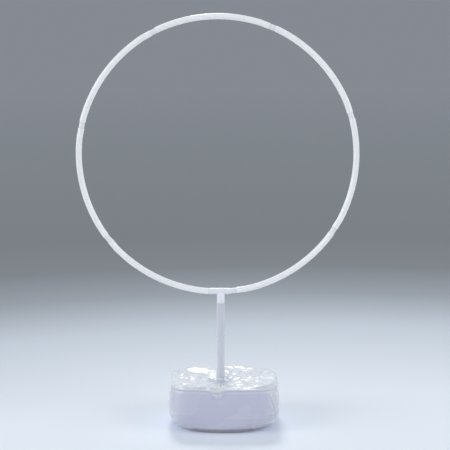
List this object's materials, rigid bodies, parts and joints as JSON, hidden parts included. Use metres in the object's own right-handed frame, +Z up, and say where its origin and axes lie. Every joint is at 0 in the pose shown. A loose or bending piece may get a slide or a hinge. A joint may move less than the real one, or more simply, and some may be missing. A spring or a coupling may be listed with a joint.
{
  "type": "hoop stand",
  "caption": "Ring of push-fit plastic tubes on a tee and a short pole, held upright by a water-filled film bag with a ribbed plate inside.",
  "frame": {"origin": "on the floor, under the pole's axis, in the bag's flat foot", "axes": "+Z up along the pole, +X along the hoop's width, -Y towards the viewer, square to the hoop"},
  "size_m": [0.7465, 0.252, 1.0956],
  "materials": {
    "hoop_plastic": "glossy, milky white",
    "tee_plastic": "satin, milky white",
    "pole_plastic": "glossy, milky white",
    "plate_plastic": "moulded",
    "bag_film": "glossy, wrinkled, translucent film",
    "water": "clear",
    "tie_plastic": "coated wire"
  },
  "bodies": {
    "base": {"bag": "bag_film", "water": "water", "base_plate": "plate_plastic", "lower_pole": "pole_plastic", "neck_tie": "tie_plastic"},
    "pole": {"pole": "pole_plastic"},
    "hoop": {"hoop_tube_1": "hoop_plastic", "hoop_tube_2": "hoop_plastic", "hoop_tube_3": "hoop_plastic", "hoop_tube_4": "hoop_plastic", "hoop_tube_5": "hoop_plastic", "hoop_tube_6": "hoop_plastic", "hoop_tube_7": "hoop_plastic", "ring_tee": "tee_plastic"}
  },
  "joints": [
    {"name": "pole_lift", "type": "slide", "parent": "base", "child": "pole", "axis": [0, 0, 1], "range_m": [0, 0.06]},
    {"name": "hoop_swivel", "type": "hinge", "parent": "pole", "child": "hoop", "pos_m": [0, 0, 0.327], "axis": [0, 0, 1], "continuous": true}
  ]
}
